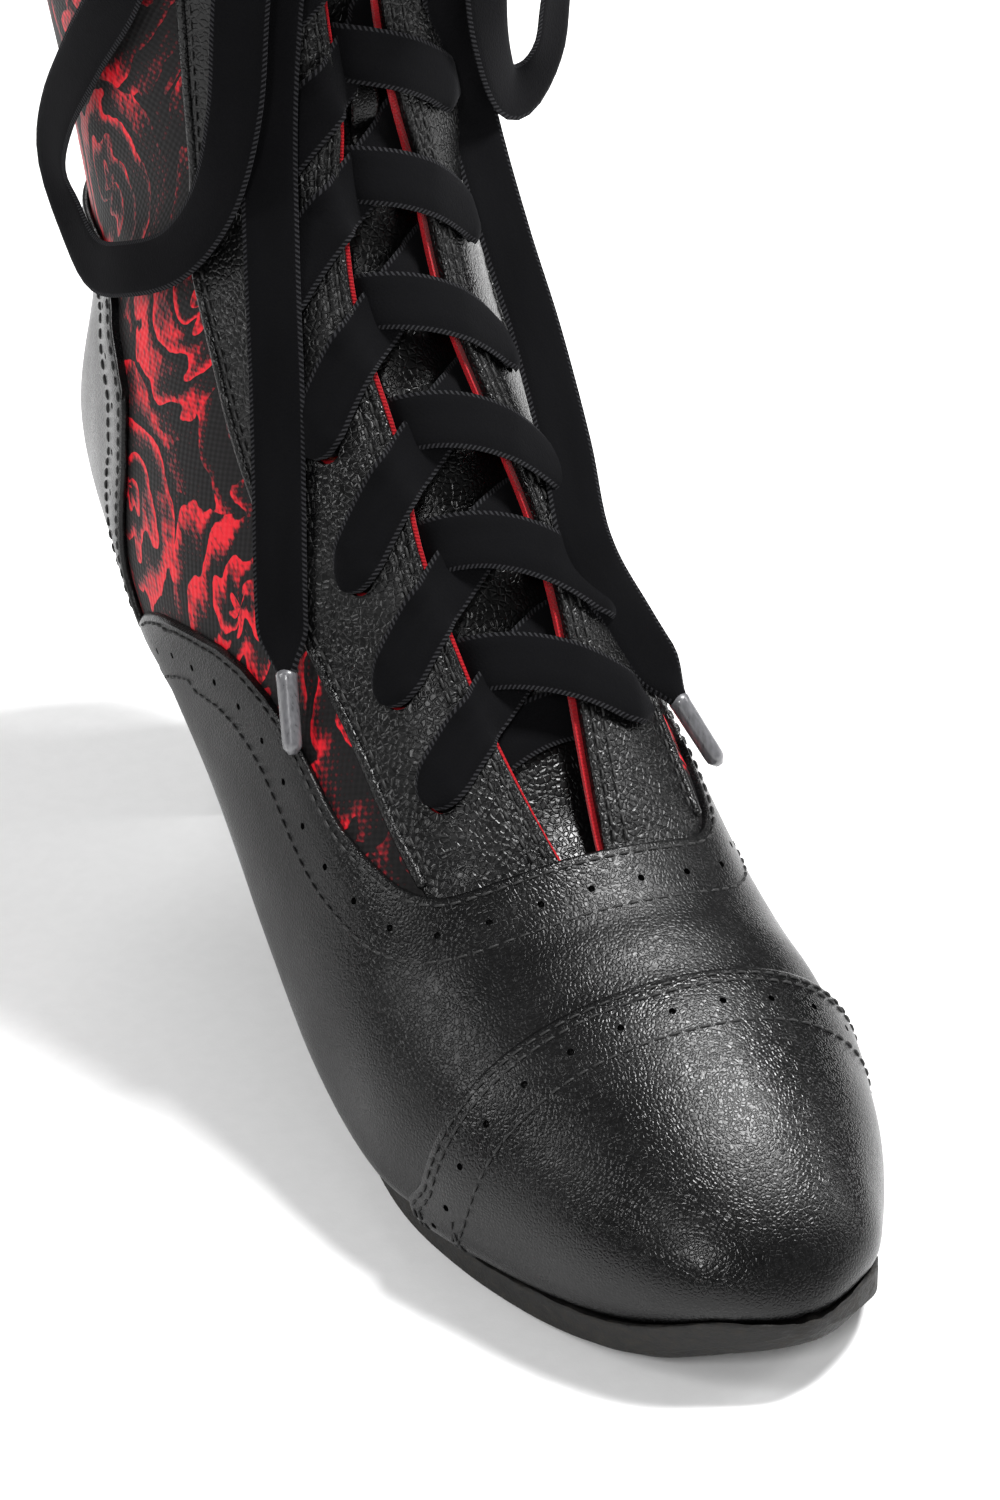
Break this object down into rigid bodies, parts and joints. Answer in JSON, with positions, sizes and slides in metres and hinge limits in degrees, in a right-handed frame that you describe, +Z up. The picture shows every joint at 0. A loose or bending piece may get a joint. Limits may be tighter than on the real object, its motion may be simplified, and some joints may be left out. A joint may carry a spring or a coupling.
{
  "type": "lace-up ankle boot",
  "caption": "Right lace-up ankle boot with a curved heel: leather toe cap, vamp and counter, brocade quarters, ribbon laces tied in a bow.",
  "frame": {"origin": "on the floor at the middle of the tread, under the ball of the foot", "axes": "+Z up out of the shaft, -Y towards the toe, +X towards the inner (medial) side of this right boot"},
  "size_m": [0.0962, 0.2521, 0.2681],
  "materials": {
    "smooth_leather": "smooth black leather with a fine grain, semi-gloss",
    "grained_leather": "pebbled black leather, glossy",
    "rose_brocade": "woven rose pattern, red on black",
    "red_lining": "plain red cloth, matt",
    "stiff_board": "pressed fibre board, matt",
    "sock_cloth": "dark cloth on foam, matt",
    "sole_rubber": "black rubber, matt, roughened edge",
    "heel_cover": "moulded heel covered in smooth black leather",
    "steel": "plain steel",
    "cork": "cork sheet, matt",
    "velvet_ribbon": "black velvet ribbon with woven edges",
    "aglet_plastic": "grey plastic, glossy"
  },
  "bodies": {
    "root": {"toe_cap": "smooth_leather", "vamp": "smooth_leather", "heel_counter": "smooth_leather", "back_strip": "smooth_leather", "collar_binding": "smooth_leather", "tongue": "grained_leather", "tongue_lace_keeper": "grained_leather", "lateral_quarter": "rose_brocade", "lateral_facing": "grained_leather", "lateral_lining": "red_lining", "medial_quarter": "rose_brocade", "medial_facing": "grained_leather", "medial_lining": "red_lining", "vamp_lining": "red_lining", "toe_puff": "stiff_board", "heel_stiffener": "stiff_board", "insole_board": "stiff_board", "sock_lining": "sock_cloth", "forepart_filler": "cork", "steel_shank": "steel", "outsole": "sole_rubber", "heel_block": "heel_cover", "heel_top_piece": "sole_rubber", "heel_screw": "steel", "heel_nail_1": "steel", "heel_nail_2": "steel", "heel_nail_3": "steel", "heel_nail_4": "steel", "lacing": "velvet_ribbon", "bow_knot": "velvet_ribbon", "bow_loop_lateral": "velvet_ribbon", "bow_loop_medial": "velvet_ribbon", "lace_tail_lateral": "velvet_ribbon", "lace_tail_medial": "velvet_ribbon", "aglet_lateral": "aglet_plastic", "aglet_medial": "aglet_plastic"}
  },
  "joints": []
}
